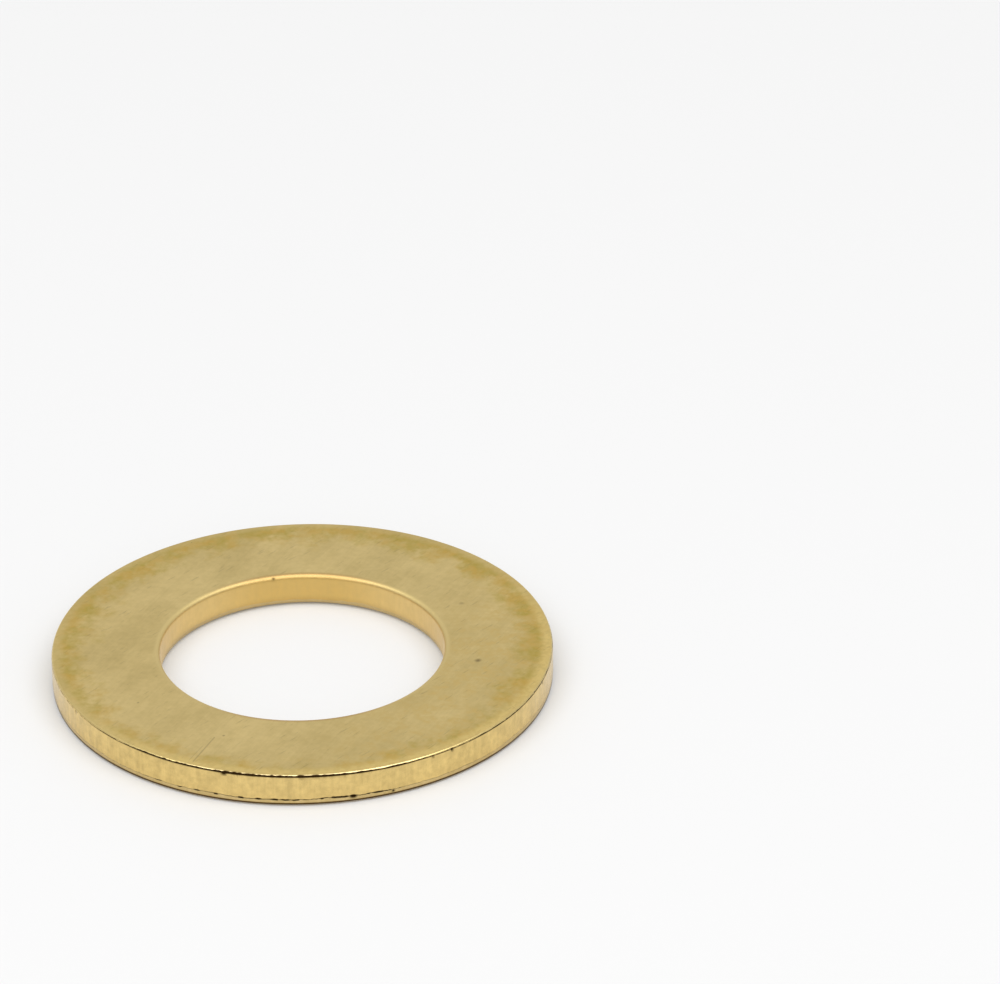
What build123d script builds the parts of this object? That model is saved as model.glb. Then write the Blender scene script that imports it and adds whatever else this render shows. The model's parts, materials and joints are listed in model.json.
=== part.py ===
from build123d import *
import os

# A flat washer, blanked and pierced in one stroke from brass sheet.
# All sizes are in millimetres. The origin is the centre of the lower face,
# and +Z runs up the bore's axis to the face that the punches entered.

# Driving dimensions.
OUTER_DIAMETER = 30.0  # over the blanked rim
BORE_DIAMETER = 17.0  # clearance hole for a 16 mm bolt
THICKNESS = 2.0  # face to face

# Edges that the punches rolled over, on the upper face.
RIM_ROLL_RADIUS = 0.13
BORE_ROLL_RADIUS = 0.20

# Below a smooth sheared land, each wall ends in a band where the metal tore.
RIM_TORN_HEIGHT = 0.37
RIM_TORN_LEAN = 0.03  # how far the rim's torn band runs in at the lower face
BORE_TORN_HEIGHT = 0.37
BORE_TORN_LEAN = 0.03  # how far the bore's torn band runs out at the lower face

# Lower edges, which tumbling has taken the burr off.
LOWER_EDGE_RADIUS = 0.08


def corner_at(sketch, x, y):
    """The sketch's corner at the place (x, y)."""
    return sketch.vertices().sort_by_distance((x, y, 0))[0]


def ring_section():
    """Half of the washer's section: X is the radius and Y the height."""
    rim_radius = OUTER_DIAMETER / 2
    bore_radius = BORE_DIAMETER / 2
    rim_foot = rim_radius - RIM_TORN_LEAN
    bore_foot = bore_radius + BORE_TORN_LEAN

    section = make_face(
        Polyline(
            (bore_radius, THICKNESS),
            (rim_radius, THICKNESS),
            (rim_radius, RIM_TORN_HEIGHT),
            (rim_foot, 0),
            (bore_foot, 0),
            (bore_radius, BORE_TORN_HEIGHT),
            close=True,
        )
    )
    section = fillet(corner_at(section, rim_radius, THICKNESS), RIM_ROLL_RADIUS)
    section = fillet(corner_at(section, bore_radius, THICKNESS), BORE_ROLL_RADIUS)
    section = fillet(corner_at(section, rim_foot, 0), LOWER_EDGE_RADIUS)
    return fillet(corner_at(section, bore_foot, 0), LOWER_EDGE_RADIUS)


def washer_ring():
    """The whole washer, which is one piece of metal."""
    return revolve(Plane.XZ * ring_section(), Axis.Z)


def main():
    os.makedirs("parts", exist_ok=True)
    ring = washer_ring()
    export_step(ring, "parts/washer_ring.step")
    print("washer_ring volume", round(ring.volume, 1), "mm3, size", ring.bounding_box().size)


main()
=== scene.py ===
# %% [markdown]
# # A stamped brass washer
#
# A flat washer is punched out of brass sheet in one stroke. It is a single ring, so nothing has to be
# fitted to anything else, and all of the work goes into how a stamped edge and a rolled face really look.
# The sizes come from the imported CAD model, which is loaded here as a fixed frame, in metres. The frame's
# box is kept.

import json
import math

import bmesh
import bpy
from mathutils import Matrix, Quaternion, Vector, noise


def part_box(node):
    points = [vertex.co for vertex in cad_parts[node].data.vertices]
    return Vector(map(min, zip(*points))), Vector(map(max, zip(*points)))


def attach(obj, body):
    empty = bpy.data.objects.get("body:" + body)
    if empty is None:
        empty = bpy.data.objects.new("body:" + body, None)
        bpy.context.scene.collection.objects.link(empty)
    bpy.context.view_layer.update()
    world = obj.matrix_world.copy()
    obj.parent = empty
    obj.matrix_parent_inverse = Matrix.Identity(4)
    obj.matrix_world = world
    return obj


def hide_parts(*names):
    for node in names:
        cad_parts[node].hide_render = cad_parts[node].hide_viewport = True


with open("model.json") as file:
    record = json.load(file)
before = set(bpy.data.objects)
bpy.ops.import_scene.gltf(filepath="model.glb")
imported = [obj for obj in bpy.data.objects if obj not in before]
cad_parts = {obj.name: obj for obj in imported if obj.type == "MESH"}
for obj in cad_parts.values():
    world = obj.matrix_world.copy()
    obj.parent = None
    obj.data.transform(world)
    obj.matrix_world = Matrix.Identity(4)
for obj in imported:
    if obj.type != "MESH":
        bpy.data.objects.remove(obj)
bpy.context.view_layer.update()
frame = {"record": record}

MM = 0.001  # one millimetre in the scene's metres

# %% [markdown]
# The outside diameter and the thickness are read off the CAD node's box. A box can't give the hole, so
# the bore's radius comes from the record's list of mounts, which says where a bolt goes through.

# %% Read the ring's own sizes
RING_NODE = "washer_ring"
node_low, node_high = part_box(RING_NODE)
rim_radius = (node_high.x - node_low.x) / 2
thickness = node_high.z - node_low.z
bore_mount = next(m for m in frame["record"]["mounts"] if m["name"] == "bore")
bore_radius = bore_mount["dims"]["r_mm"] * MM
print("rim radius", round(rim_radius / MM, 3), "mm")
print("bore radius", round(bore_radius / MM, 3), "mm")
print("thickness", round(thickness / MM, 3), "mm")

# %% [markdown]
# ## The camera
#
# A small part is best shown from some way off with a long lens, which keeps the near and far edges of
# the ring almost the same size. The camera stands nearly half a metre away and looks down at about
# thirty degrees. It is aimed a little to the right of the ring and above it, so that the ring sits low
# and to the left in the picture. It could be aimed with a Track To constraint, but three angles say the
# same thing and leave nothing live in the scene.

# %% Place the camera
CAMERA_DISTANCE = 0.4614
CAMERA_HEIGHT_ANGLE = math.radians(30.40)
CAMERA_YAW = math.radians(1.724)
CAMERA_PITCH = math.radians(29.074)
CAMERA_ROLL = math.radians(-0.88)
CAMERA_LENS = 276.9
CAMERA_CLIP = (0.01, 10)

camera_data = bpy.data.cameras.new("camera")
camera_data.lens = CAMERA_LENS
camera_data.clip_start, camera_data.clip_end = CAMERA_CLIP
camera = bpy.data.objects.new("camera", camera_data)
bpy.context.scene.collection.objects.link(camera)
camera.location = CAMERA_DISTANCE * Vector(
    (0, -math.cos(CAMERA_HEIGHT_ANGLE), math.sin(CAMERA_HEIGHT_ANGLE))
)
looking = Vector(
    (
        math.sin(CAMERA_YAW) * math.cos(CAMERA_PITCH),
        math.cos(CAMERA_YAW) * math.cos(CAMERA_PITCH),
        -math.sin(CAMERA_PITCH),
    )
)
camera.rotation_mode = "QUATERNION"
camera.rotation_quaternion = looking.to_track_quat("-Z", "Y") @ Quaternion((0, 0, 1), CAMERA_ROLL)
bpy.context.scene.camera = camera
print("camera at", [round(c, 4) for c in camera.location], "m")

# %% [markdown]
# ## The studio
#
# Bright metal has hardly any look of its own: it shows what stands around it. So the light is planned
# from the ring outwards. The flat face mirrors whatever is behind the ring, the walls mirror the floor in
# front of them, and the rounded edges between them mirror everything from the floor up to the ceiling.
#
# The floor is a light table: a pale sheet that also glows a little, which thins out the shadow under the
# ring. The ring lies a tenth of a millimetre clear of it, as a washer that isn't quite flat does, and the
# dark gap draws a thin line under the rim. A sphere of lights would be one way to light it. Two soft
# panels and an even room are easier to steer, because each has one job. The overhead panel gives the
# rounded edges their bright line. The other is wider and much weaker, stands on the camera's side and
# softens the lower half of the same edges. The room is dimmer than the floor, which gives the face its
# quieter tone. Neither panel is seen by the camera itself.

# %% Lay the floor
FLOOR_SIZE = 6.0
FLOOR_WHITE = 0.61
FLOOR_ROUGHNESS = 0.6
FLOOR_GAP = 0.10 * MM
TABLE_GLOW = 0.10


def plain_material(name, colour, roughness, glow):
    """A material for the studio: one colour, one roughness and an even glow."""
    material = bpy.data.materials.new(name)
    material.use_nodes = True
    shader = material.node_tree.nodes["Principled BSDF"]
    shader.inputs["Base Color"].default_value = (*colour, 1)
    shader.inputs["Roughness"].default_value = roughness
    shader.inputs["Emission Color"].default_value = (1, 1, 1, 1)
    shader.inputs["Emission Strength"].default_value = glow
    return material


def stage_sheet(name, width, length, material):
    """A flat studio sheet in the XY plane, which isn't part of the object."""
    sheet_mesh = bmesh.new()
    bmesh.ops.create_grid(sheet_mesh, x_segments=1, y_segments=1, size=0.5)
    bmesh.ops.scale(sheet_mesh, vec=(width, length, 1), verts=sheet_mesh.verts)
    data = bpy.data.meshes.new(name)
    sheet_mesh.to_mesh(data)
    sheet_mesh.free()
    data.materials.append(material)
    sheet = bpy.data.objects.new(name, data)
    bpy.context.scene.collection.objects.link(sheet)
    return sheet


white_sheet = plain_material("white_sheet", (FLOOR_WHITE,) * 3, FLOOR_ROUGHNESS, TABLE_GLOW)
floor = stage_sheet("floor", FLOOR_SIZE, FLOOR_SIZE, white_sheet)
floor.location.z = node_low.z - FLOOR_GAP
print("floor", FLOOR_SIZE, "m square,", FLOOR_GAP / MM, "mm below the ring")

# %% Hang the soft lights
OVERHEAD_SIZE = (1.5, 1.0)
OVERHEAD_PLACE = Vector((0, -0.25, 0.8))
OVERHEAD_POWER = 9.5
FILL_SIZE = (1.8, 0.8)
FILL_PLACE = Vector((0, -1.0, 0.50))
FILL_POWER = 1.4


def soft_light(name, size, place, power):
    """A rectangular soft light that faces the ring and is hidden from the camera."""
    data = bpy.data.lights.new(name, "AREA")
    data.shape = "RECTANGLE"
    data.size, data.size_y = size
    data.energy = power
    light = bpy.data.objects.new(name, data)
    bpy.context.scene.collection.objects.link(light)
    light.location = place
    light.rotation_mode = "QUATERNION"
    light.rotation_quaternion = (-place).to_track_quat("-Z", "Y")
    light.visible_camera = False
    return light


overhead = soft_light("overhead", OVERHEAD_SIZE, OVERHEAD_PLACE, OVERHEAD_POWER)
fill = soft_light("fill", FILL_SIZE, FILL_PLACE, FILL_POWER)
print("soft lights", overhead.name, "and", fill.name)

# %% Light the room
ROOM_LIGHT = 0.78
BACKDROP_WHITE = 0.945

world = bpy.data.worlds.new("studio")
bpy.context.scene.world = world
world.use_nodes = True
sky = world.node_tree
sky.nodes.clear()
ray = sky.nodes.new("ShaderNodeLightPath")
brightness = sky.nodes.new("ShaderNodeMix")
brightness.inputs["A"].default_value = ROOM_LIGHT
brightness.inputs["B"].default_value = BACKDROP_WHITE
background = sky.nodes.new("ShaderNodeBackground")
sky_output = sky.nodes.new("ShaderNodeOutputWorld")
sky.links.new(ray.outputs["Is Camera Ray"], brightness.inputs["Factor"])
sky.links.new(brightness.outputs["Result"], background.inputs["Strength"])
sky.links.new(background.outputs["Background"], sky_output.inputs["Surface"])
bpy.context.scene.view_settings.view_transform = "Standard"
print("room light", ROOM_LIGHT, "backdrop", BACKDROP_WHITE)

# %% [markdown]
# ## The ring's section
#
# A punch rolls the sheet's upper edge over before it cuts, then shears a smooth wall, and then the rest
# tears. So from top to bottom the wall has a round roll, a smooth land, a ragged little ledge and a
# rougher torn band, and the lowest edge is blunt from tumbling.
#
# A cylinder with a bevel modifier would give every edge the same round. Here the section is drawn once
# as a loop of a few points, and each corner gets its own bevel. The roll on the rim is then stretched
# downwards, because sheet bends over further along the punch than across.

# %% Draw the section's corners
BORE_ROLL = 0.29 * MM
RIM_ROLL = 0.12 * MM
RIM_ROLL_STRETCH = 1.4
TORN_TOP = 0.385 * MM
LEDGE_DEPTH = 0.006 * MM
LEDGE_DROP = 0.04 * MM
RIM_LEAN = 0.02 * MM
RIM_LOWER_ROUND = 0.06 * MM
BORE_LEAN = 0.06 * MM
BORE_LOWER_ROUND = 0.23 * MM
SUPPORT = 0.06 * MM  # how far a holding row stands off a rounded corner

bottom, top = node_low.z, node_high.z
outline = {
    "bore_roll": (bore_radius, top),
    "bore_hold": (bore_radius + BORE_ROLL + SUPPORT, top),
    "rim_hold": (rim_radius - RIM_ROLL - SUPPORT, top),
    "rim_roll": (rim_radius, top),
    "rim_ledge": (rim_radius, bottom + TORN_TOP),
    "rim_torn": (rim_radius - LEDGE_DEPTH, bottom + TORN_TOP - LEDGE_DROP),
    "rim_foot": (rim_radius - RIM_LEAN, bottom),
    "rim_foot_hold": (rim_radius - RIM_LEAN - RIM_LOWER_ROUND - SUPPORT, bottom),
    "bore_foot_hold": (bore_radius + BORE_LEAN + BORE_LOWER_ROUND + SUPPORT, bottom),
    "bore_foot": (bore_radius + BORE_LEAN, bottom),
    "bore_torn": (bore_radius + LEDGE_DEPTH, bottom + TORN_TOP - LEDGE_DROP),
    "bore_ledge": (bore_radius, bottom + TORN_TOP),
}
ring = bmesh.new()
corners = {name: ring.verts.new((r, 0, z)) for name, (r, z) in outline.items()}
loop = list(corners.values())
for first, second in zip(loop, loop[1:] + loop[:1]):
    ring.edges.new((first, second))
print("section drawn with", len(ring.verts), "points")

# %% Round the corners
BORE_ROLL_STEPS = 7
RIM_ROLL_STEPS = 10
LOWER_ROUND_STEPS = 4


def round_corner(mesh, corner, size, segments):
    """Rounds one corner of the section, and returns the points of the round."""
    made = bmesh.ops.bevel(
        mesh,
        geom=[corner],
        offset=size,
        offset_type="OFFSET",
        affect="VERTICES",
        segments=segments,
        profile=0.5,
        material=-1,
    )
    return made["verts"]


round_corner(ring, corners["bore_roll"], BORE_ROLL, BORE_ROLL_STEPS)
rim_round = round_corner(ring, corners["rim_roll"], RIM_ROLL, RIM_ROLL_STEPS)
round_corner(ring, corners["rim_foot"], RIM_LOWER_ROUND, LOWER_ROUND_STEPS)
round_corner(ring, corners["bore_foot"], BORE_LOWER_ROUND, LOWER_ROUND_STEPS)
bmesh.ops.scale(
    ring,
    vec=(1, 1, RIM_ROLL_STRETCH),
    space=Matrix.Translation((0, 0, -top)),
    verts=rim_round,
)
print("section rounded into", len(ring.verts), "points")

# %% [markdown]
# ## From section to ring
#
# The ledge, the nicks and the streaks will be made by moving points, so there have to be points to move.
# A subdivision surface would put as many rows on the flat faces as at the ledge. Here each edge of the
# section is halved until it is short enough for what it has to show, so the rows are closest together at
# the rim's ledge and far apart on the faces.
#
# The spin operator then turns the section all the way round and closes the ring on itself. A screw
# modifier makes the same shape, but it leaves no points that could be moved one by one.

# %% Divide the long runs
FACE_ROW = 1.0 * MM
LAND_ROW = 0.22 * MM
TORN_ROW = 0.08 * MM
LEDGE_ROW = 0.035 * MM
LEDGE_ZONE = 0.07 * MM
LEVEL = 0.01 * MM  # an edge that rises less than this lies in a face
RIM_SIDE = 1 * MM  # how far in from the rim a point still belongs to the rim's wall


def longest_allowed(edge):
    """How long an edge of the section may be: long on the faces, shortest at the rim's ledge."""
    lowest, highest = sorted(point.co.z for point in edge.verts)
    if highest - lowest < LEVEL:
        return FACE_ROW
    near_ledge = lowest < bottom + TORN_TOP + LEDGE_ZONE and highest > bottom + TORN_TOP - LEDGE_ZONE
    if near_ledge and edge.verts[0].co.x > rim_radius - RIM_SIDE:
        return LEDGE_ROW
    return TORN_ROW if lowest < bottom + TORN_TOP - LEDGE_DROP else LAND_ROW


while long_edges := [edge for edge in ring.edges if edge.calc_length() > longest_allowed(edge)]:
    bmesh.ops.subdivide_edges(ring, edges=long_edges, cuts=1)
print("section divided into", len(ring.verts), "points")

# %% Spin the section into a ring
SPIN_STEPS = 1200
SAME_PLACE = 0.0001 * MM

bmesh.ops.spin(
    ring,
    geom=ring.verts[:] + ring.edges[:],
    cent=(0, 0, 0),
    axis=(0, 0, 1),
    angle=math.tau,
    steps=SPIN_STEPS,
    use_merge=True,
)
bmesh.ops.remove_doubles(ring, verts=ring.verts, dist=SAME_PLACE)
bmesh.ops.recalc_face_normals(ring, faces=ring.faces)
triangles = sum(len(face.verts) - 2 for face in ring.faces)
print("ring of", len(ring.faces), "faces,", triangles, "triangles")

# %% [markdown]
# ## Wear in the metal itself
#
# Up to here the ring is perfect, and perfect edges look like plastic. On a real one the ledge where the
# metal tore wanders up and down and holds old oil, a fine crack of the same kind runs under the
# rolled edge, the smooth wall is streaked along the punch's travel, there are a few nicks, and the face
# sags very slightly towards its edges. The dark in the ledge, the crack and the nicks is painted shade as
# well as oil.
#
# A displace modifier moves points along their normals by one texture. It could make one of these, but
# not a ledge that wanders up and down. So each point is asked where it sits in the section, and is moved
# by Blender's own noise: a few hundredths of a millimetre at most, or about a tenth at the ledge. The
# noise is read at the point's place on a circle, so it joins up with itself after a full turn. The walls
# only move into the metal and no point passes the faces, which keeps the ring inside its CAD box.
#
# Each noise has a name, so that the wear can be read like a list of causes. Its number for the layer
# only makes it a different noise from the others.
#
# While a point is moved, two facts are noted on it for the materials: how deep in a crevice it lies,
# which the material paints dark as shade and old oil, and how torn the metal is there.

# %% Helpers that say where a point is
FRONT = math.radians(-90)


def ease(low, high, value):
    """A smooth step: 0 up to low, 1 from high on."""
    share = min(1.0, max(0.0, (value - low) / (high - low)))
    return share * share * (3 - 2 * share)


def hump(centre, reach, value):
    """A smooth hump: 1 at centre, 0 from reach away."""
    return 1 - ease(0, reach, abs(value - centre))


def degrees_from_front(turn):
    """An angle round the ring as degrees right of the front, from -180 to 180."""
    return (math.degrees(turn - FRONT) + 180) % 360 - 180


print("the ring's right side is", round(degrees_from_front(0)), "degrees from its front")

# %% Noises that run round the ring
NOISES = {
    # name: width of its blobs, layer
    "slow ledge": (2.4 * MM, 3),
    "quick ledge": (0.45 * MM, 11),
    "fine ledge": (0.16 * MM, 15),
    "torn dashes": (0.5 * MM, 21),
    "torn jags": (0.2 * MM, 25),
    "torn bite": (0.9 * MM, 29),
    "fine streaks": (0.20 * MM, 31),
    "broad streaks": (1.1 * MM, 37),
    "ripple": (0.35 * MM, 41),
    "face waves": (3.5 * MM, 51),
    "line drift": (0.9 * MM, 61),
    "line jags": (0.24 * MM, 67),
}


def round_the_ring(name, turn, radius, height=0.0):
    """One of the noises, from -1 to 1, at a place on a circle round the axis."""
    blob, layer = NOISES[name]
    place = Vector((math.cos(turn) * radius, math.sin(turn) * radius, height)) / blob
    return noise.noise(place + Vector((0, 0, layer)))


for name in NOISES:
    samples = [round_the_ring(name, math.radians(degree), rim_radius) for degree in range(360)]
    print(name, "from", round(min(samples), 2), "to", round(max(samples), 2))

# %% [markdown]
# Nicks come from knocks against other parts, so nearly all of them sit on an edge. Noise would scatter
# them anywhere. A list gives each one its own place, size and depth. A nick is a smooth dent, deepest in
# its middle and gone at its outline.

# %% Nicks in the edges, each with its place round the ring
NICKS = [
    # wall, degrees right of the front, height, half width round the ring, half height, depth
    (rim_radius, -18.7, 1.86 * MM, 0.28 * MM, 0.14 * MM, 0.060 * MM),
    (rim_radius, -15.6, 1.88 * MM, 0.10 * MM, 0.08 * MM, 0.030 * MM),
    (rim_radius, 10.5, 0.31 * MM, 0.34 * MM, 0.18 * MM, 0.060 * MM),
    (rim_radius, 19.8, 0.24 * MM, 0.16 * MM, 0.13 * MM, 0.050 * MM),
    (rim_radius, 29.8, 1.85 * MM, 0.14 * MM, 0.12 * MM, 0.035 * MM),
    (rim_radius, 34.9, 1.86 * MM, 0.16 * MM, 0.14 * MM, 0.050 * MM),
    (rim_radius, 71.0, 1.80 * MM, 0.20 * MM, 0.13 * MM, 0.040 * MM),
    (rim_radius, 118.0, 0.34 * MM, 0.25 * MM, 0.12 * MM, 0.050 * MM),
    (rim_radius, 163.0, 1.84 * MM, 0.14 * MM, 0.12 * MM, 0.045 * MM),
    (rim_radius, -64.0, 1.84 * MM, 0.13 * MM, 0.12 * MM, 0.035 * MM),
    (rim_radius, -102.0, 0.35 * MM, 0.20 * MM, 0.10 * MM, 0.045 * MM),
    (rim_radius, -141.0, 1.82 * MM, 0.18 * MM, 0.15 * MM, 0.040 * MM),
    (bore_radius, -169.1, 1.87 * MM, 0.17 * MM, 0.16 * MM, 0.030 * MM),
]


def nick_depth(turn, height, wall_radius):
    """How deep the nicks are at a place on one of the two walls."""
    depth = 0.0
    for nicked_wall, degrees, nick_height, half_width, half_height, deepest in NICKS:
        if nicked_wall != wall_radius:
            continue
        away = math.radians(degrees_from_front(turn - math.radians(degrees)))
        across = away * wall_radius / half_width
        up = (height - nick_height) / half_height
        depth += deepest * (1 - ease(0, 1, math.hypot(across, up)))
    return depth


print(len(NICKS), "nicks, the deepest", max(nick[-1] for nick in NICKS) / MM, "mm")

# %% [markdown]
# Two dark lines run round the rim: one under the rolled edge and one at the ledge. Each is a shallow
# groove, and its dark is painted shade and old oil, strongest at the front. Neither is equally
# strong all the way round, and the upper one lies a little lower in some places than in others. A
# formula for that would be hard to steer, so each has a short list of stops, angle and strength, and a
# third list says how far below the face the upper line runs. Between two stops the value is read off
# smoothly.

# %% The two dark lines round the rim
ROLL_LINE = [
    # degrees right of the front, strength
    (-180, 0.7), (-150, 0.9), (-120, 0.5), (-90, 0.2), (-62, 0.1), (-47, 0.45), (-30, 0.75),
    (-12, 1.2), (8, 1.1), (18, 0.8), (30, 0.35), (37, 0.3), (44, 0.5), (68, 0.4), (95, 0.5), (125, 0.9),
    (155, 0.6), (180, 0.7),
]
TORN_LINE = [
    (-180, 0.6), (-130, 0.8), (-100, 0.3), (-62, 0.1), (-40, 0.3), (-28, 0.8), (-12, 1.1),
    (0, 0.9), (12, 1.1), (19, 0.9), (23, 0.1), (60, 0.1), (90, 0.4), (130, 0.9), (180, 0.6),
]
ROLL_LINE_DROP = [
    # degrees right of the front, mm below the face
    (-180, 0.08), (-60, 0.11), (-38, 0.08), (-15, 0.075), (-2, 0.085), (8, 0.095), (24, 0.108),
    (48, 0.105), (75, 0.09), (180, 0.08),
]
ROLL_LINE_HALF = 0.066 * MM
ROLL_LINE_DRIFT = 0.014 * MM
ROLL_LINE_JAG = 0.018 * MM
TORN_LINE_HALF = 0.058 * MM
DASHED = (-0.15, 0.2)  # where the noise is below the first there is a gap, above the second a dash
THINNEST_HALF = 0.002 * MM
LINE_FLANK = (0.5, 1.2)  # shares of the half width: full depth inside the first, none past the second


def along_stops(stops, degrees):
    """The value at an angle, read off a list of stops."""
    for (before, first), (after, second) in zip(stops, stops[1:]):
        if degrees <= after:
            return first + (second - first) * ease(before, after, degrees)
    return stops[-1][1]


def line_depth(centre, half, height):
    """How deep in a line a height is, from 0 to 1."""
    half = max(half, THINNEST_HALF)
    return 1 - ease(LINE_FLANK[0] * half, LINE_FLANK[1] * half, abs(height - centre))


def roll_line(turn, height):
    """How deep in the line under the rim's rolled edge a place is."""
    drift = round_the_ring("line drift", turn, rim_radius)
    jag = round_the_ring("line jags", turn, rim_radius)
    degrees = degrees_from_front(turn)
    drop = along_stops(ROLL_LINE_DROP, degrees) * MM
    centre = top - drop + ROLL_LINE_DRIFT * drift + ROLL_LINE_JAG * jag
    half = ROLL_LINE_HALF * along_stops(ROLL_LINE, degrees) * (1 + 0.5 * drift + 0.5 * jag)
    return line_depth(centre, half, height)


def torn_line(turn, height):
    """How deep in the broken line at the rim's ledge a place is."""
    dash = round_the_ring("torn dashes", turn, rim_radius)
    jag = round_the_ring("torn jags", turn, rim_radius)
    strength = along_stops(TORN_LINE, degrees_from_front(turn))
    half = TORN_LINE_HALF * strength * (0.4 + 0.8 * ease(*DASHED, dash + 0.4 * jag))
    return line_depth(bottom + TORN_TOP - 0.5 * LEDGE_DROP, half, height)


print("the roll line is about", round(2 * ROLL_LINE_HALF / MM, 3), "mm thick where its strength is 1")

# %% [markdown]
# The rest of a wall's wear goes by height. The torn band is bitten in and gritty, the smooth land above
# it has upright streaks, and the rolled edge has a faint ripple. Each is a depth into the metal, and the
# depths simply add up.

# %% How a wall is torn and streaked
LEDGE_WANDER = 0.13 * MM
LEDGE_REACH = 0.25 * MM  # how far above and below the ledge the wall wanders with it
LINE_CUT = 0.022 * MM
TORN_BITE = 0.012 * MM
TORN_ROUGHNESS = 0.012 * MM
GRIT_SIZE = 0.22 * MM
GRIT_FRACTAL = (0.8, 2.0, 3)  # roughness, step in size, number of sizes
BAND_FADE = 0.1 * MM  # how softly the torn band and the land begin
STREAK_DEPTH = 0.006 * MM
STREAK_SQUEEZE = 0.12  # upright streaks are noise that is squeezed in height
BROAD_SQUEEZE = 0.3
ROLL_ZONE = 0.3 * MM  # the land's streaks fade out over this height below the face
ROLL_RIPPLE = 0.004 * MM
RIPPLE_DROP = 0.12 * MM


def ledge_rise(turn, radius):
    """How far up or down the ledge wanders at this place round the ring."""
    slow = round_the_ring("slow ledge", turn, radius)
    quick = round_the_ring("quick ledge", turn, radius)
    fine = round_the_ring("fine ledge", turn, radius)
    return LEDGE_WANDER * (0.65 * slow + 0.35 * quick + 0.2 * fine)


def torn_share(height):
    """How torn the wall is at a height: 1 in the torn band, 0 above it and at the very bottom."""
    torn_top = bottom + TORN_TOP
    below = 1 - ease(torn_top - LEDGE_DROP, torn_top, height)
    return below * ease(bottom, bottom + BAND_FADE, height)


def torn_depth(turn, radius, height):
    """How far the torn band is bitten into the metal."""
    bite = 0.5 + 0.5 * round_the_ring("torn bite", turn, radius)
    place = Vector((math.cos(turn) * radius, math.sin(turn) * radius, height))
    grit = max(-1, min(1, noise.fractal(place / GRIT_SIZE, *GRIT_FRACTAL)))
    return torn_share(height) * (TORN_BITE * bite + TORN_ROUGHNESS * (0.5 + 0.5 * grit))


def streak_depth(turn, radius, height):
    """How deep the smooth land is streaked."""
    torn_top = bottom + TORN_TOP
    land = ease(torn_top, torn_top + BAND_FADE, height) * (1 - ease(top - ROLL_ZONE, top, height))
    fine = round_the_ring("fine streaks", turn, radius, height * STREAK_SQUEEZE)
    broad = round_the_ring("broad streaks", turn, radius, height * BROAD_SQUEEZE)
    return land * STREAK_DEPTH * (1 + 0.6 * fine + 0.4 * broad)


def ripple_depth(turn, radius, height):
    """How deep the ripple in the rolled edge is."""
    ripple = ease(-0.2, 0.6, round_the_ring("ripple", turn, radius))
    return hump(top - RIPPLE_DROP, RIPPLE_DROP, height) * ROLL_RIPPLE * ripple


print("ledge at the front rises", round(ledge_rise(FRONT, rim_radius) / MM, 3), "mm")

# %% [markdown]
# Now every point is moved once. How much of the wall's wear it takes depends on how close it is to that
# wall, so that the wear fades out over the rounded edges and never starts with a step. The upper face
# sags towards its edges and both faces are very slightly wavy, because a washer is never truly flat.

# %% How much of the wear reaches a point
RIM_FADE = (0.17 * MM, 0.06 * MM)  # how far in from the rim its wear starts, and is full
BORE_FADE = (0.03 * MM, 0.22 * MM)  # how far out from the bore its wear is full, and ends
FACE_SAG = 0.012 * MM
RIM_SAG = (1.0 * MM, 0.1 * MM)  # how far in from the rim the sag starts, and is full
BORE_SAG = (0.1 * MM, 0.6 * MM)  # how far out from the bore the sag is full, and ends
FACE_WAVE = 0.004 * MM
UPPER_FADE = 0.3 * MM
LOWER_FADE = 0.05 * MM


def wall_share(radius):
    """How much of a wall's wear reaches a point: 1 on both walls, 0 on the faces between them."""
    on_rim = ease(rim_radius - RIM_FADE[0], rim_radius - RIM_FADE[1], radius)
    on_bore = 1 - ease(bore_radius + BORE_FADE[0], bore_radius + BORE_FADE[1], radius)
    return max(on_rim, on_bore)


def face_shift(turn, radius, height):
    """How far a point of the two faces moves up or down, always into the metal."""
    wave = 0.5 + 0.5 * round_the_ring("face waves", turn, radius)
    sag_at_rim = ease(rim_radius - RIM_SAG[0], rim_radius - RIM_SAG[1], radius)
    sag_at_bore = 1 - ease(bore_radius + BORE_SAG[0], bore_radius + BORE_SAG[1], radius)
    sag = FACE_SAG * (sag_at_rim + 0.5 * sag_at_bore)
    upper = ease((top + bottom) / 2, top - UPPER_FADE, height)
    lower = 1 - ease(bottom, bottom + LOWER_FADE, height)
    return lower * FACE_WAVE * wave - upper * (sag + FACE_WAVE * wave)


print("the face sags by up to", FACE_SAG / MM, "mm at the rim")

# %% Move every point
# the nicks are painted dark in their hollows as shade, like the two lines
NICK_SHADE = 1.3
DEEPEST_NICK = max(nick[-1] for nick in NICKS)
CREVICE, TORN = "crevice", "torn"

crevice_layer = ring.verts.layers.float.new(CREVICE)
torn_layer = ring.verts.layers.float.new(TORN)
middle = (rim_radius + bore_radius) / 2
for point in ring.verts:
    radius = math.hypot(point.co.x, point.co.y)
    turn = math.atan2(point.co.y, point.co.x)
    height = point.co.z
    is_rim = radius > middle
    wall_radius = rim_radius if is_rim else bore_radius
    worn = wall_share(radius)
    crevice = max(roll_line(turn, height), torn_line(turn, height)) if is_rim else 0.0
    dent = nick_depth(turn, height, wall_radius) * worn
    depth = torn_depth(turn, wall_radius, height)
    depth += streak_depth(turn, wall_radius, height)
    depth += ripple_depth(turn, wall_radius, height)
    depth += LINE_CUT * crevice
    inward = depth * worn + dent
    new_radius = radius - inward if is_rim else radius + inward

    rise = ledge_rise(turn, wall_radius) * hump(bottom + TORN_TOP, LEDGE_REACH, height)
    new_height = height + rise * worn + face_shift(turn, radius, height)
    point.co.x *= new_radius / radius
    point.co.y *= new_radius / radius
    point.co.z = min(top, max(bottom, new_height))
    point[crevice_layer] = min(1.0, crevice * worn + NICK_SHADE * dent / DEEPEST_NICK)
    point[torn_layer] = torn_share(height) * worn
print("moved", len(ring.verts), "points")

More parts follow.
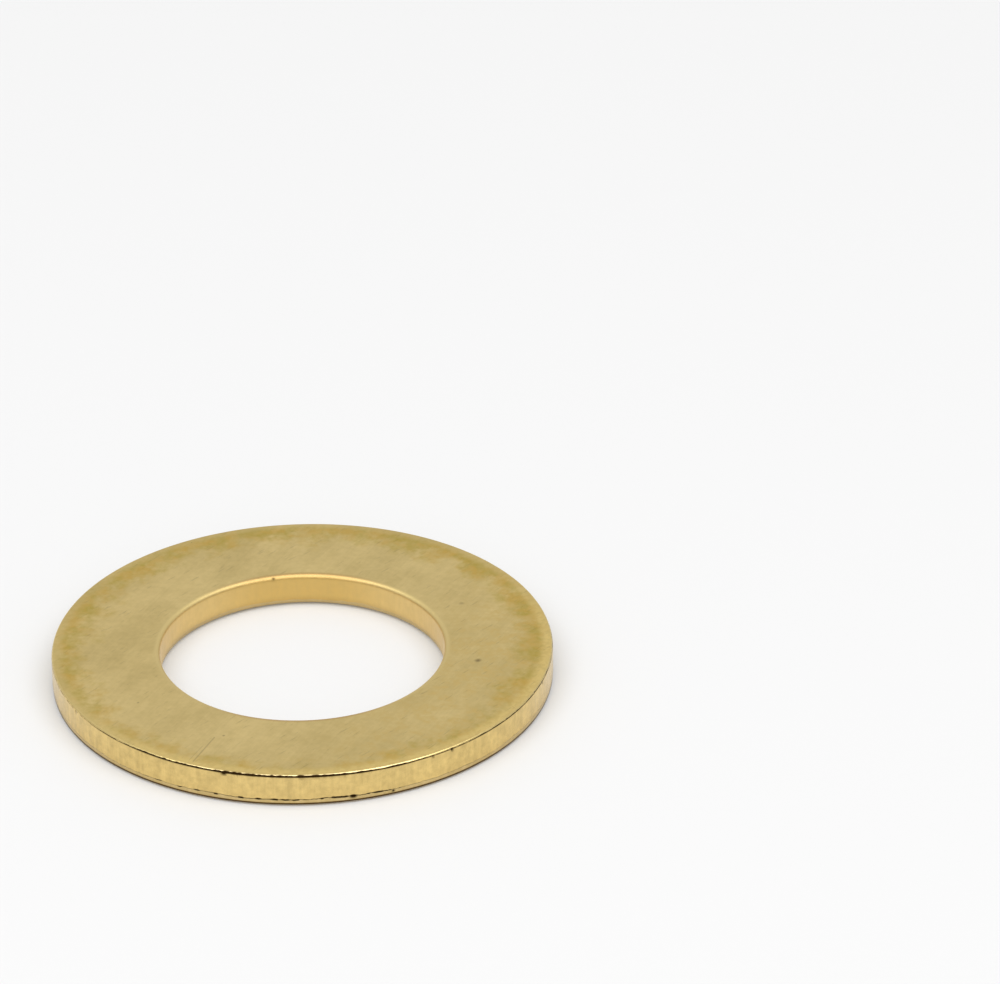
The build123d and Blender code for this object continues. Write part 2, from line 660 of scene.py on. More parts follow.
# %% [markdown]
# ## The piece
#
# The mesh becomes one object, which stands for the CAD node. It rides on the only body there is. Its
# object stays at the origin, unturned, because its place is already in its points.

# %% Make the piece
piece_data = bpy.data.meshes.new("stamped_ring")
for face in ring.faces:
    face.smooth = True
ring.to_mesh(piece_data)
ring.free()
stamped_ring = bpy.data.objects.new("stamped_ring", piece_data)
bpy.context.scene.collection.objects.link(stamped_ring)
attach(stamped_ring, "root")
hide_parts(RING_NODE)
print("made", stamped_ring.name, "with", len(piece_data.vertices), "points")

# %% [markdown]
# ## Tools for materials
#
# A material is a small graph of nodes. Wiring them by hand in code is long-winded, so a few helpers
# keep each recipe readable. One wires up a node and one adds it. The others do a sum, make a smooth
# step, blend two colours, and make or use a group of nodes.

# %% Helpers for node graphs
MIX_SHARE, MIX_FIRST, MIX_SECOND = 0, 6, 7  # which of a Mix node's inputs a blend of colours uses
MIX_RESULT = 2  # and which of its outputs


def wire_up(tree, node, wires):
    """Wires a node's inputs. Each wire is another node's socket, or a plain value for the input."""
    for socket, source in wires.items():
        if isinstance(source, bpy.types.NodeSocket):
            tree.links.new(source, node.inputs[socket])
        else:
            node.inputs[socket].default_value = source


def add_node(tree, kind, wires=None, **settings):
    """Adds a node with its settings, and wires it up."""
    node = tree.nodes.new(kind)
    for name, value in settings.items():
        setattr(node, name, value)
    wire_up(tree, node, wires or {})
    return node


def sums(tree, operation, *values, clamp=False):
    """One sum on numbers, as a Math node. Returns its result."""
    wires = dict(enumerate(values))
    return add_node(tree, "ShaderNodeMath", wires, operation=operation, use_clamp=clamp).outputs[0]


def step_between(tree, value, low, high, low_gives=0.0, high_gives=1.0):
    """A smooth step from one value to another, as a Map Range node."""
    wires = {"Value": value, "From Min": low, "From Max": high, "To Min": low_gives, "To Max": high_gives}
    node = add_node(tree, "ShaderNodeMapRange", wires, interpolation_type="SMOOTHSTEP", clamp=True)
    return node.outputs["Result"]


def blend_colours(tree, share, first, second):
    """A blend of two colours: first where share is 0, second where it is 1."""
    wires = {MIX_SHARE: share}
    for index, source in ((MIX_FIRST, first), (MIX_SECOND, second)):
        wires[index] = source if isinstance(source, bpy.types.NodeSocket) else (*source, 1)
    node = add_node(tree, "ShaderNodeMix", data_type="RGBA")
    wire_up(tree, node, wires)
    return node.outputs[MIX_RESULT]


def new_group(name, inputs, outputs):
    """A shader node group with named inputs and outputs. Inputs are {label: (kind, value)}."""
    group = bpy.data.node_groups.new(name, "ShaderNodeTree")
    for label, (kind, value) in inputs.items():
        socket = group.interface.new_socket(label, in_out="INPUT", socket_type="NodeSocket" + kind)
        if value is not None:
            socket.default_value = value
    for label, kind in outputs.items():
        group.interface.new_socket(label, in_out="OUTPUT", socket_type="NodeSocket" + kind)
    return group, group.nodes.new("NodeGroupInput").outputs, group.nodes.new("NodeGroupOutput").inputs


def use_group(tree, group, wires):
    """Places a group in a material or another group, with its own values."""
    node = tree.nodes.new("ShaderNodeGroup")
    node.node_tree = group
    wire_up(tree, node, wires)
    return node.outputs


print("helpers for nodes, sums, steps, blends and groups are ready")

# %% [markdown]
# ### Where on the ring
#
# Every finish below depends on how far a place is from the axis and how high it is. A group works that
# out once from Object coordinates, and turns metres into millimetres, so that the sizes in the recipes
# are ones that a person can picture.

# %% Group: the place on the ring, in millimetres
ring_place, given, result = new_group(
    "ring_place",
    {"Object": ("Vector", None)},
    {"Place": "Vector", "Radius": "Float", "Height": "Float"},
)
in_mm = add_node(
    ring_place, "ShaderNodeVectorMath", {0: given["Object"], "Scale": 1 / MM}, operation="SCALE"
).outputs["Vector"]
parts = add_node(ring_place, "ShaderNodeSeparateXYZ", {"Vector": in_mm}).outputs
flat = add_node(ring_place, "ShaderNodeCombineXYZ", {"X": parts["X"], "Y": parts["Y"]}).outputs["Vector"]
reach = add_node(ring_place, "ShaderNodeVectorMath", {0: flat}, operation="LENGTH").outputs["Value"]
ring_place.links.new(in_mm, result["Place"])
ring_place.links.new(reach, result["Radius"])
ring_place.links.new(parts["Z"], result["Height"])
print("group", ring_place.name)

# %% [markdown]
# ### Rolled grain
#
# The sheet was rolled before it was stamped, and the rolls leave a fine, straight lay that runs across
# the whole face in one direction, whatever way the ring happened to be cut. A wave texture makes lines
# that are too regular. Noise that is stretched a long way along one axis gives hairs of uneven length
# and strength. The same group, set much coarser, also makes the long soft bands in the sheet.

# %% Group: straight hairs along one direction
rolled_grain, given, result = new_group(
    "rolled_grain",
    {
        "Place": ("Vector", None),
        "Turn": ("Float", 0.0),
        "Hairs per mm": ("Float", 8.0),
        "Hair length": ("Float", 6.0),
    },
    {"Grain": "Float"},
)
turned = add_node(
    rolled_grain, "ShaderNodeVectorRotate", {"Vector": given["Place"], "Angle": given["Turn"]}
).outputs["Vector"]
along = sums(rolled_grain, "DIVIDE", 1.0, given["Hair length"])
stretch = add_node(
    rolled_grain, "ShaderNodeCombineXYZ", {"X": along, "Y": given["Hairs per mm"], "Z": 1.0}
).outputs["Vector"]
stretched = add_node(
    rolled_grain, "ShaderNodeVectorMath", {0: turned, 1: stretch}, operation="MULTIPLY"
).outputs["Vector"]
hairs = add_node(
    rolled_grain,
    "ShaderNodeTexNoise",
    {"Vector": stretched, "Scale": 1.0, "Detail": 3.0, "Roughness": 0.6},
).outputs["Fac"]
rolled_grain.links.new(hairs, result["Grain"])
print("group", rolled_grain.name)

# %% [markdown]
# ### Cloudiness
#
# No sheet has one even tone. Where it was wiped, handled or stored against its neighbours it is a shade
# lighter or darker, in soft clouds a few millimetres wide with a fine speckle in them. The same noise at
# very different sizes does that, and a smooth step makes each size more or less definite.

# %% Group: soft clouds or fine speckle
clouds, given, result = new_group(
    "clouds",
    {"Place": ("Vector", None), "Cloud size": ("Float", 4.0), "Softness": ("Float", 0.3)},
    {"Clouds": "Float"},
)
cloud_noise = add_node(
    clouds,
    "ShaderNodeTexNoise",
    {
        "Vector": given["Place"],
        "Scale": sums(clouds, "DIVIDE", 1.0, given["Cloud size"]),
        "Detail": 3.0,
        "Roughness": 0.55,
    },
).outputs["Fac"]
thin = sums(clouds, "SUBTRACT", 0.5, given["Softness"])
thick = sums(clouds, "ADD", 0.5, given["Softness"])
clouds.links.new(step_between(clouds, cloud_noise, thin, thick), result["Clouds"])
print("group", clouds.name)

# %% [markdown]
# ### Tarnish
#
# Brass darkens to a yellow-olive brown where it is handled and where tumbling did not reach. On a
# washer that is a band just inside the rim, which frays inwards, is narrower on one side and is rubbed
# bright again at the very edge. The group takes the distance from the rim and frays it with noise. Two
# soft steps keep its borders from looking painted.

# %% Group: tarnish that starts near the rim and frays inwards
BORDER_SOFTNESS = 1.2  # mm to either side of the tarnish's border
RUBBED_REACH = (0.2, 0.9)  # mm from the rim: most rubbed up to the first, not rubbed from the second
RUBBED_LEFT = 0.3  # how much tarnish is left where it is most rubbed

tarnish, given, result = new_group(
    "tarnish",
    {
        "Place": ("Vector", None),
        "From rim": ("Float", 0.0),
        "Band width": ("Float", 1.4),
        "Fraying": ("Float", 5.5),
        "Patch size": ("Float", 1.3),
        "Clean side": ("Vector", None),
        "Clean reach": ("Float", 0.7),
    },
    {"Tarnish": "Float"},
)
patch_scale = sums(tarnish, "DIVIDE", 1.0, given["Patch size"])
patches = add_node(
    tarnish,
    "ShaderNodeTexNoise",
    {"Vector": given["Place"], "Scale": patch_scale, "Detail": 4.0, "Roughness": 0.6},
).outputs["Fac"]
frayed = sums(tarnish, "MULTIPLY", sums(tarnish, "SUBTRACT", patches, 0.5), given["Fraying"])
outward = add_node(tarnish, "ShaderNodeVectorMath", {0: given["Place"]}, operation="NORMALIZE").outputs[0]
facing = add_node(
    tarnish, "ShaderNodeVectorMath", {0: outward, 1: given["Clean side"]}, operation="DOT_PRODUCT"
).outputs["Value"]
narrower = sums(tarnish, "MULTIPLY", sums(tarnish, "MAXIMUM", facing, 0.0), given["Clean reach"])
border = sums(tarnish, "ADD", sums(tarnish, "SUBTRACT", given["Band width"], narrower), frayed)
inside = sums(tarnish, "SUBTRACT", border, given["From rim"])
rubbed = step_between(tarnish, given["From rim"], *RUBBED_REACH, RUBBED_LEFT, 1.0)
covered = step_between(tarnish, inside, -BORDER_SOFTNESS, BORDER_SOFTNESS)
tarnish.links.new(sums(tarnish, "MULTIPLY", covered, rubbed), result["Tarnish"])
print("group", tarnish.name)

# %% [markdown]
# ### Pits and scratches
#
# Sheet has a few tiny dark pits, and every washer that has been in a box with others has scratches.
# Pits are the middles of Voronoi cells, of which about a quarter are chosen. Scratches are very long,
# very thin noise, cut off so high that only single strokes are left.
#
# Noise can't put a mark in one given place. For that there is a third group, which measures the distance
# to a straight stroke between two points. A stroke that is hardly longer than it is wide is a pit.

# %% Group: small dark pits
pits, given, result = new_group(
    "pits",
    {
        "Place": ("Vector", None),
        "Spacing": ("Float", 1.7),
        "Pit size": ("Float", 0.06),
        "Share": ("Float", 0.25),
    },
    {"Pits": "Float"},
)
cells = add_node(
    pits,
    "ShaderNodeTexVoronoi",
    {"Vector": given["Place"], "Scale": sums(pits, "DIVIDE", 1.0, given["Spacing"])},
).outputs
away = sums(pits, "MULTIPLY", cells["Distance"], given["Spacing"])
dot = step_between(pits, away, given["Pit size"], 0.0)
lot = add_node(pits, "ShaderNodeSeparateColor", {"Color": cells["Color"]}).outputs["Red"]
chosen = sums(pits, "LESS_THAN", lot, given["Share"])
pits.links.new(sums(pits, "MULTIPLY", dot, chosen), result["Pits"])
print("group", pits.name)

# %% Group: loose scratches
STROKE_SOFTNESS = 0.06  # how far above its cut-off the noise gives a full stroke

scratches, given, result = new_group(
    "scratches",
    {
        "Place": ("Vector", None),
        "Turn": ("Float", 0.0),
        "Fineness": ("Float", 5.0),
        "Length": ("Float", 9.0),
        "Rarity": ("Float", 0.70),
    },
    {"Scratches": "Float"},
)
strokes = use_group(
    scratches,
    rolled_grain,
    {
        "Place": given["Place"],
        "Turn": given["Turn"],
        "Hairs per mm": given["Fineness"],
        "Hair length": given["Length"],
    },
)["Grain"]
full_stroke = sums(scratches, "ADD", given["Rarity"], STROKE_SOFTNESS)
stroke = step_between(scratches, strokes, given["Rarity"], full_stroke)
scratches.links.new(stroke, result["Scratches"])
print("group", scratches.name)

# %% Group: one stroke in a given place
stroke_mark, given, result = new_group(
    "stroke_mark",
    {
        "Place": ("Vector", None),
        "Start": ("Vector", None),
        "End": ("Vector", None),
        "Half width": ("Float", 0.05),
    },
    {"Mark": "Float"},
)


def on_vectors(tree, operation, first, second, output="Vector"):
    """One sum on two vectors, as a Vector Math node."""
    node = add_node(tree, "ShaderNodeVectorMath", {0: first, 1: second}, operation=operation)
    return node.outputs[output]


travel = on_vectors(stroke_mark, "SUBTRACT", given["End"], given["Start"])
offset = on_vectors(stroke_mark, "SUBTRACT", given["Place"], given["Start"])
covered = on_vectors(stroke_mark, "DOT_PRODUCT", offset, travel, "Value")
whole = on_vectors(stroke_mark, "DOT_PRODUCT", travel, travel, "Value")
share = sums(stroke_mark, "DIVIDE", covered, whole, clamp=True)
nearest = add_node(
    stroke_mark, "ShaderNodeVectorMath", {0: travel, "Scale": share}, operation="SCALE"
).outputs["Vector"]
away = on_vectors(stroke_mark, "DISTANCE", offset, nearest, "Value")
stroke_mark.links.new(step_between(stroke_mark, away, given["Half width"], 0.0), result["Mark"])
print("group", stroke_mark.name)

# %% [markdown]
# ### Streaks up the walls
#
# The punch drags the metal along as it goes down, so both walls are streaked from top to bottom. Noise
# that is squeezed in height gives the same streaks on the rim and in the bore, without any unwrapping.

# %% Group: upright streaks
STREAK_RANGE = (0.25, 0.75)  # nearly all of the noise lies between these

streaks, given, result = new_group(
    "streaks",
    {"Place": ("Vector", None), "Streak width": ("Float", 0.3), "Streak length": ("Float", 2.5)},
    {"Streaks": "Float"},
)
across = sums(streaks, "DIVIDE", 1.0, given["Streak width"])
upwards = sums(streaks, "DIVIDE", 1.0, given["Streak length"])
squeeze = add_node(streaks, "ShaderNodeCombineXYZ", {"X": across, "Y": across, "Z": upwards})
squeezed = on_vectors(streaks, "MULTIPLY", given["Place"], squeeze.outputs["Vector"])
drawn = add_node(
    streaks, "ShaderNodeTexNoise", {"Vector": squeezed, "Scale": 1.0, "Detail": 2.0, "Roughness": 0.6}
).outputs["Fac"]
streaks.links.new(step_between(streaks, drawn, *STREAK_RANGE), result["Streaks"])
print("group", streaks.name)

# %% [markdown]
# ## The brass
#
# The whole ring is bare brass: fully metallic, satin rather than polished. It could be given one material
# for the faces and another for the walls, but then there would be a hard line between them. Here several
# finishes are laid over each other in one material, each where a soft mask lets it through. Radius and
# height make most of the masks, some keep to one side of the ring, and the two facts that were noted on
# the points make the rest.

# %% Material: where everything is on the ring
RIM_MM, BORE_MM, TOP_MM = rim_radius / MM, bore_radius / MM, thickness / MM
RIM_WALL_IN = (0.12, 0.05)  # mm in from the rim: where its wall's finish starts, and is full
BORE_WALL_OUT = (0.20, 0.04)  # the same, out from the bore

brass = bpy.data.materials.new("stamped_brass")
brass.use_nodes = True
tree = brass.node_tree
shader = tree.nodes["Principled BSDF"]
shader.inputs["Metallic"].default_value = 1.0
coordinates = add_node(tree, "ShaderNodeTexCoord").outputs["Object"]
ring_parts = use_group(tree, ring_place, {"Object": coordinates})
place, height = ring_parts["Place"], ring_parts["Height"]
from_rim = sums(tree, "SUBTRACT", RIM_MM, ring_parts["Radius"])
from_bore = sums(tree, "SUBTRACT", ring_parts["Radius"], BORE_MM)
rim_wall = step_between(tree, from_rim, *RIM_WALL_IN)
bore_wall = step_between(tree, from_bore, *BORE_WALL_OUT)
crevice_note = add_node(tree, "ShaderNodeAttribute", attribute_name=CREVICE).outputs["Fac"]
torn_note = add_node(tree, "ShaderNodeAttribute", attribute_name=TORN).outputs["Fac"]
print("the walls stand", round(BORE_MM, 3), "and", round(RIM_MM, 3), "mm from the axis")

# %% [markdown]
# ### The tones of the faces
#
# The sheet itself is a quiet greyish tan. Four patterns of different sizes each darken it a little: soft
# clouds, the long bands of the rolling, a fine speckle and the hairs of the lay. They are added up into
# one tone, which blends a light brass into a darker one. Multiplying the patterns would make their
# darkest places meet and look dirty.

# %% Material: the sheet's own tones
FACE_LIGHT = (0.915, 0.710, 0.310)
FACE_DARK = (0.665, 0.508, 0.195)
LAY_TURN = math.radians(-62)
CLOUD_WEIGHT = 0.44
BAND_WEIGHT = 0.18
SPECKLE_WEIGHT = 0.26
LAY_WEIGHT = 0.10
BAND_RANGE = (0.35, 0.65)  # nearly all of each noise lies between its two numbers
LAY_RANGE = (0.3, 0.7)

fine_lay = {"Place": place, "Turn": LAY_TURN, "Hairs per mm": 7.0, "Hair length": 4.0}
long_bands = {"Place": place, "Turn": LAY_TURN, "Hairs per mm": 0.75, "Hair length": 9.0}
lay = use_group(tree, rolled_grain, fine_lay)["Grain"]
bands = use_group(tree, rolled_grain, long_bands)["Grain"]
soft_clouds = use_group(tree, clouds, {"Place": place, "Cloud size": 4.5, "Softness": 0.2})["Clouds"]
speckle = use_group(tree, clouds, {"Place": place, "Cloud size": 0.35, "Softness": 0.25})["Clouds"]
broad_tone = sums(
    tree,
    "ADD",
    sums(tree, "MULTIPLY", soft_clouds, CLOUD_WEIGHT),
    step_between(tree, bands, *BAND_RANGE, 0.0, BAND_WEIGHT),
)
fine_tone = sums(
    tree,
    "ADD",
    sums(tree, "MULTIPLY", speckle, SPECKLE_WEIGHT),
    step_between(tree, lay, *LAY_RANGE, 0.0, LAY_WEIGHT),
)
face = blend_colours(tree, sums(tree, "ADD", broad_tone, fine_tone), FACE_LIGHT, FACE_DARK)
print("face tones laid, from", FACE_LIGHT, "to", FACE_DARK)

# %% [markdown]
# ### Tarnish, warm spots and a strip of painted highlight
#
# Over the tones lie three colours that keep to a part of the face. Tarnish, olive in some patches and
# brown in others, lies near the rim. Small warm spots are scattered over one side. A strip close to the
# rim on the front and right is painted lighter, a painted highlight where the face sags towards the rim.
# A side is picked with a dot product: the place times a direction, which grows from one edge of the ring
# to the other. Painting these by hand on an image would tie them to one picture size.

# %% Material: warm spots and tarnish
OLIVE_COLOUR = (0.60, 0.445, 0.085)
BROWN_COLOUR = (0.71, 0.475, 0.100)
WARM_COLOUR = (0.79, 0.575, 0.200)
WARM_SIDE = (0.90, -0.43, 0)
CLEAN_SIDE = (-0.17, -0.98, 0)
LEAST_TARNISH = 0.75  # how strong the tarnish still is in the lightest speckle


def on_side(direction, starts, full):
    """A mask for one side. It starts and is full at these shares of the outer radius."""
    along = on_vectors(tree, "DOT_PRODUCT", place, direction, "Value")
    return step_between(tree, along, starts * RIM_MM, full * RIM_MM)


hue_clouds = use_group(tree, clouds, {"Place": place, "Cloud size": 1.1, "Softness": 0.12})["Clouds"]
warm_side = on_side(WARM_SIDE, starts=0.25, full=0.75)
warm_spots = sums(tree, "MULTIPLY", warm_side, sums(tree, "MULTIPLY", hue_clouds, speckle))
face = blend_colours(tree, warm_spots, face, WARM_COLOUR)

rim_band = {
    "Place": place,
    "From rim": from_rim,
    "Band width": 1.65,
    "Clean side": CLEAN_SIDE,
    "Clean reach": 1.0,
}
rim_tarnish = use_group(tree, tarnish, rim_band)["Tarnish"]
fine_tarnish = step_between(tree, speckle, 0.0, 1.0, LEAST_TARNISH, 1.0)
rim_tarnish = sums(tree, "MULTIPLY", rim_tarnish, fine_tarnish)
tarnish_colour = blend_colours(tree, hue_clouds, OLIVE_COLOUR, BROWN_COLOUR)
face = blend_colours(tree, rim_tarnish, face, tarnish_colour)
print("tarnish laid in a band", rim_band["Band width"], "mm wide")

# %% Material: the strip of painted highlight
# a painted highlight in a strip near the rim, on the front and right
STRIP_HIGHLIGHT_COLOUR = (0.93, 0.70, 0.25)
STRIP_HIGHLIGHT_SIDE = (0.50, -0.86, 0)
STRIP_HIGHLIGHT_IN = (1.0, 0.3)  # mm in from the rim: where it starts, and is full
LEAST_HIGHLIGHT = 0.55  # how strong the strip still is in the darkest speckle

# the side where the highlight is painted
lit_side = on_side(STRIP_HIGHLIGHT_SIDE, starts=-0.1, full=0.45)
highlight_strip = sums(tree, "MULTIPLY", lit_side, step_between(tree, from_rim, *STRIP_HIGHLIGHT_IN))
strip_speckle = step_between(tree, speckle, 0.1, 0.9, 1.0, LEAST_HIGHLIGHT)
highlight_strip = sums(tree, "MULTIPLY", highlight_strip, strip_speckle)
face = blend_colours(tree, highlight_strip, face, STRIP_HIGHLIGHT_COLOUR)
print("light strip laid within", STRIP_HIGHLIGHT_IN[0], "mm of the rim")

# %% [markdown]
# ### Marks and scratches on the face
#
# The marks are the few that a person would notice first: two pits, two specks and a scratch with a
# fainter one beside it. Each is a stroke in its own place on the upper face. Under them lie the
# scattered pits, some scratches along the lay and a short hatch at a slight angle to it, which are made
# by pattern alone. The strongest of them wins at each place, so that crossing scratches don't add up to
# a blot.

# %% Material: marks on the upper face
MARKS = [
    # start, end, half width, how dark
    ((10.43, -2.38), (10.46, -2.34), 0.28, 0.6),
    ((9.67, 4.50), (9.70, 4.52), 0.24, 0.3),
    ((-4.77, -10.20), (-4.75, -10.18), 0.12, 0.5),
    ((-9.80, -6.10), (-9.78, -6.08), 0.10, 0.45),
    ((-6.55, -13.00), (-5.30, -10.35), 0.08, 0.3),
    ((-6.80, -12.85), (-6.00, -11.30), 0.06, 0.16),
]
# the dark of pits and scratches, and also the painted shade along the lowest edges
GRIME_AND_SHADE_COLOUR = (0.09, 0.05, 0.016)
HATCH_TURN = math.radians(-48)
PIT_DARKNESS = 0.5
SCRATCH_DARKNESS = 0.08
HATCH_DARKNESS = 0.17


def stronger(tree, first, second):
    """The stronger of two masks."""
    return sums(tree, "MAXIMUM", first, second)


marks = 0.0
for (start_x, start_y), (end_x, end_y), half_width, darkness in MARKS:
    mark = use_group(
        tree,
        stroke_mark,
        {
            "Place": place,
            "Start": (start_x, start_y, TOP_MM),
            "End": (end_x, end_y, TOP_MM),
            "Half width": half_width,
        },
    )["Mark"]
    marks = stronger(tree, marks, sums(tree, "MULTIPLY", mark, darkness))
dots = use_group(tree, pits, {"Place": place})["Pits"]
strokes = use_group(tree, scratches, {"Place": place, "Turn": LAY_TURN})["Scratches"]
short_hatch = {"Place": place, "Turn": HATCH_TURN, "Fineness": 6.0, "Length": 1.6, "Rarity": 0.62}
hatch = use_group(tree, scratches, short_hatch)["Scratches"]
damage = stronger(tree, marks, sums(tree, "MULTIPLY", dots, PIT_DARKNESS))
damage = stronger(tree, damage, sums(tree, "MULTIPLY", strokes, SCRATCH_DARKNESS))
damage = stronger(tree, damage, sums(tree, "MULTIPLY", hatch, HATCH_DARKNESS))
face = blend_colours(tree, damage, face, GRIME_AND_SHADE_COLOUR)
print(len(MARKS), "marks placed")

# %% [markdown]
# ### The tones of the walls
#
# The sheared walls are cleaner and warmer than the faces, because the punch laid fresh metal open. The
# bore is deeper in colour than the rim, and is painted a shade lighter on its left and right than at its
# front and back, as painted light. The torn band is duller. Streaks, blotches and speckle shade all of
# them, much less in the bore.

# %% Material: the tones of the walls
RIM_COLOUR = (0.855, 0.630, 0.245)
BORE_COLOUR = (0.695, 0.470, 0.151)
# painted light: the bore's left and right are lighter than its front and back
BORE_LIT_SIDE_COLOUR = (0.780, 0.568, 0.235)
TORN_COLOUR = (0.70, 0.54, 0.265)
WALL_SHADE = 0.60
STREAK_WEIGHT = 0.32
BLOTCH_WEIGHT = 0.22
WALL_SPECKLE_WEIGHT = 0.34
BORE_UNEVENNESS = 0.4  # how much of that unevenness there is in the bore
BORE_LIT_SIDES = (0.2, 0.8)  # shares of the bore's radius: where its lighter sides start, and are full

# a mask for the painted light on the bore's left and right
painted_side_light = sums(tree, "ABSOLUTE", on_vectors(tree, "DOT_PRODUCT", place, (1, 0, 0), "Value"))
painted_side_light = step_between(tree, painted_side_light, BORE_LIT_SIDES[0] * BORE_MM, BORE_LIT_SIDES[1] * BORE_MM)
bore_colour = blend_colours(tree, painted_side_light, BORE_COLOUR, BORE_LIT_SIDE_COLOUR)
wall = blend_colours(tree, bore_wall, RIM_COLOUR, bore_colour)
wall = blend_colours(tree, torn_note, wall, TORN_COLOUR)

narrow = use_group(tree, streaks, {"Place": place})["Streaks"]
blotches = use_group(tree, clouds, {"Place": place, "Cloud size": 0.8, "Softness": 0.25})["Clouds"]
shades = (
    sums(tree, "MULTIPLY", narrow, STREAK_WEIGHT),
    sums(tree, "MULTIPLY", blotches, BLOTCH_WEIGHT),
    sums(tree, "MULTIPLY", speckle, WALL_SPECKLE_WEIGHT),
)
uneven = sums(tree, "ADD", sums(tree, "ADD", shades[0], shades[1]), shades[2])
share_shown = step_between(tree, bore_wall, 0.0, 1.0, 1.0, BORE_UNEVENNESS)
uneven = sums(tree, "MULTIPLY", uneven, share_shown)
shaded_wall = [WALL_SHADE * channel for channel in RIM_COLOUR]
wall = blend_colours(tree, uneven, wall, shaded_wall)
both_walls = stronger(tree, rim_wall, bore_wall)
colour = blend_colours(tree, both_walls, face, wall)
print("wall tones laid over the face tones")

# %% [markdown]
# ### Rolled edges, feet and crevices
#
# The last finishes are the narrowest. The rim's rolled edge is a pale gold, partly burnish and partly a
# painted highlight, which is paler still at the front. The bore's rolled edge is duller and darker, and is
# painted lighter on its left and right like the wall below it. The rim's lowest edge and, faintly, the
# bore's are painted dark as shade, and every crevice is painted dark as shade and old oil. The crevices
# come last, because they have to stay dark whatever lies around them.

# %% Material: masks for the narrow edges
ROLLED_IN = (0.14, 0.08)  # all in mm: where a finish starts, and is full
ROLLED_DROP = (0.08, 0.04)
BORE_EDGE_OUT = (0.48, 0.20)
BORE_EDGE_DROP = (0.19, 0.08)
# painted shade along the rim's lowest edge and, faintly, low in the bore
RIM_FOOT_HEIGHT = (0.165, 0.10)
BORE_FOOT_HEIGHT = (0.75, 0.2)
FOOT_SHADE = 1.0
BORE_FOOT_SHADE = 0.15


def edge_mask(distance, distances, drops):
    """A mask for an upper edge: both ranges run from where it starts to where it is full."""
    near = step_between(tree, distance, *distances)
    high = step_between(tree, height, TOP_MM - drops[0], TOP_MM - drops[1])
    return sums(tree, "MULTIPLY", near, high)


rolled_edge = edge_mask(from_rim, ROLLED_IN, ROLLED_DROP)
bore_edge = edge_mask(from_bore, BORE_EDGE_OUT, BORE_EDGE_DROP)
rim_foot = step_between(tree, height, *RIM_FOOT_HEIGHT, 0.0, FOOT_SHADE)
rim_foot = sums(tree, "MULTIPLY", rim_wall, rim_foot)
bore_foot = step_between(tree, height, *BORE_FOOT_HEIGHT, 0.0, BORE_FOOT_SHADE)
bore_foot = sums(tree, "MULTIPLY", bore_wall, bore_foot)
print("the rim's foot is dark up to", RIM_FOOT_HEIGHT[0], "mm")

# %% Material: the narrow finishes
# the rim's rolled edge: burnish and painted highlight, and a paler painted highlight at the front
FRONT_HIGHLIGHT_COLOUR = (0.90, 0.71, 0.36)
BURNISH_AND_SHEEN_COLOUR = (0.84, 0.655, 0.275)
BORE_EDGE_COLOUR = (0.585, 0.395, 0.155)
BORE_EDGE_LIT_SIDE_COLOUR = (0.76, 0.60, 0.265)
# near black for the crevice lines and nicks: painted shade, and old oil
CREVICE_SHADE_COLOUR = (0.03, 0.015, 0.004)
CREVICE_STRENGTH = 1.15

# a painted highlight on the front of the rim's rolled edge
highlight_front = on_side((0, -1, 0), starts=0.82, full=0.96)
rolled_sheen_colour = blend_colours(tree, highlight_front, BURNISH_AND_SHEEN_COLOUR, FRONT_HIGHLIGHT_COLOUR)
colour = blend_colours(tree, rolled_edge, colour, rolled_sheen_colour)
# the bore's rolled edge is darker at front and back and painted lighter at its sides
bore_edge_colour = blend_colours(tree, painted_side_light, BORE_EDGE_COLOUR, BORE_EDGE_LIT_SIDE_COLOUR)
colour = blend_colours(tree, bore_edge, colour, bore_edge_colour)
# painted shade along the lowest edges of the rim and the bore
colour = blend_colours(tree, stronger(tree, rim_foot, bore_foot), colour, GRIME_AND_SHADE_COLOUR)
# painted shade and old oil in every crevice and nick
crevices = sums(tree, "MULTIPLY", crevice_note, CREVICE_STRENGTH, clamp=True)
colour = blend_colours(tree, crevices, colour, CREVICE_SHADE_COLOUR)
tree.links.new(colour, shader.inputs["Base Color"])
print("edges, feet and crevices laid")

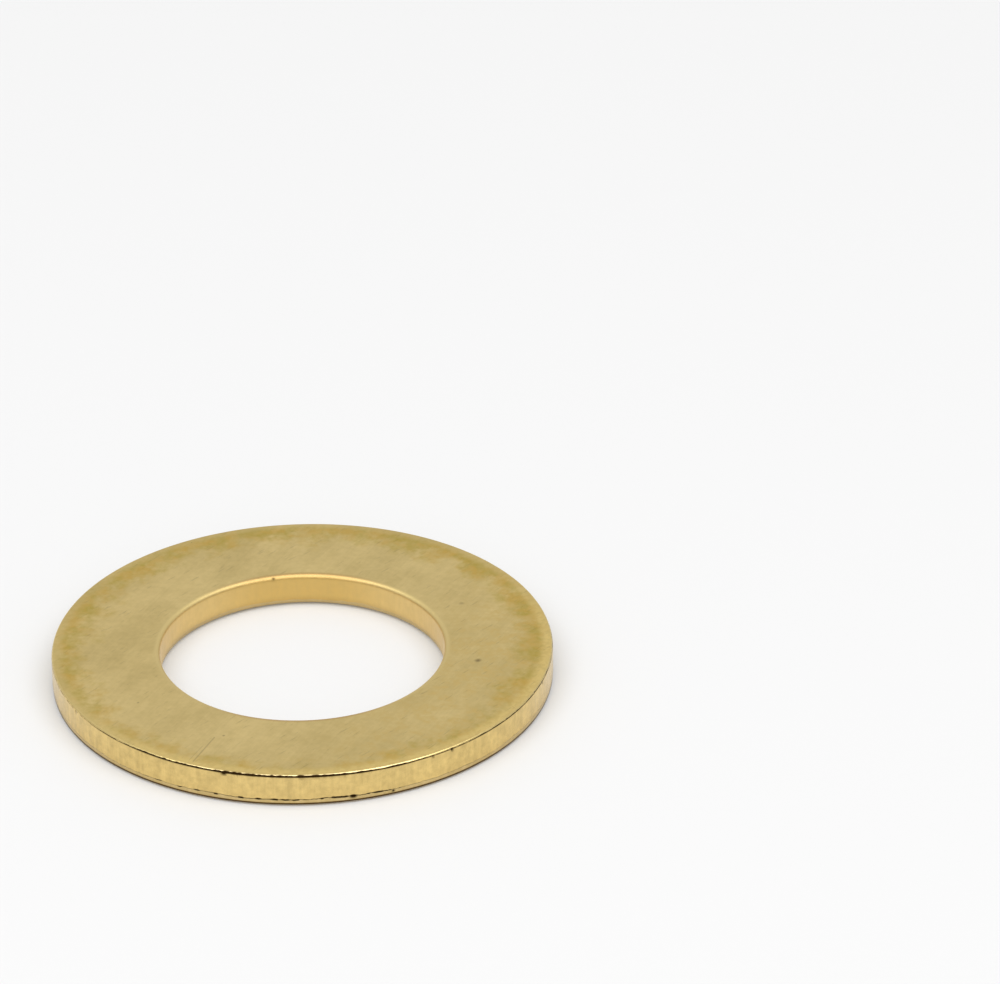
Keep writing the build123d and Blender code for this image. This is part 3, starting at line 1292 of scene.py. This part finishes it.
# %% [markdown]
# ### Roughness and relief
#
# The rim was sheared smooth and mirrors more sharply than the face, while the bore's rolled edge, the
# torn band and the crevices are rougher. The hairs of the lay vary the face's roughness a little. The
# same patterns also go into a bump that is only a few thousandths of a millimetre deep: the lay and the
# marks on the faces, and the streaks, blotches and speckle on the walls. Anything deeper than that is
# already in the mesh.

# %% Material: roughness
FACE_ROUGHNESS = 0.36
RIM_ROUGHNESS = 0.24
BORE_EDGE_ROUGHNESS = 0.48
LAY_ROUGHNESS = 0.03
TORN_EXTRA = 0.1
CREVICE_EXTRA = 0.3

rough = step_between(tree, rim_wall, 0.0, 1.0, FACE_ROUGHNESS, RIM_ROUGHNESS)
for extra in (
    sums(tree, "MULTIPLY", bore_edge, BORE_EDGE_ROUGHNESS - FACE_ROUGHNESS),
    step_between(tree, lay, *LAY_RANGE, -LAY_ROUGHNESS, LAY_ROUGHNESS),
    sums(tree, "MULTIPLY", torn_note, TORN_EXTRA),
    sums(tree, "MULTIPLY", crevice_note, CREVICE_EXTRA),
):
    rough = sums(tree, "ADD", rough, extra, clamp=True)
tree.links.new(rough, shader.inputs["Roughness"])
print("roughness", FACE_ROUGHNESS, "on the faces and", RIM_ROUGHNESS, "on the rim")

# %% Material: relief
BUMP_DEPTH = 0.004 * MM
BUMP_STRENGTH = 0.5
MARK_DEPTH = 3.0

on_face = sums(tree, "SUBTRACT", 1.0, both_walls)
face_relief = sums(tree, "SUBTRACT", lay, sums(tree, "MULTIPLY", damage, MARK_DEPTH))
wall_relief = sums(tree, "ADD", sums(tree, "ADD", narrow, blotches), speckle)
relief = sums(
    tree,
    "ADD",
    sums(tree, "MULTIPLY", face_relief, on_face),
    sums(tree, "MULTIPLY", wall_relief, both_walls),
)
bump_settings = {"Height": relief, "Strength": BUMP_STRENGTH, "Distance": BUMP_DEPTH}
bump = add_node(tree, "ShaderNodeBump", bump_settings)
tree.links.new(bump.outputs["Normal"], shader.inputs["Normal"])
stamped_ring.data.materials.append(brass)
print("material", brass.name, "with", len(tree.nodes), "nodes")
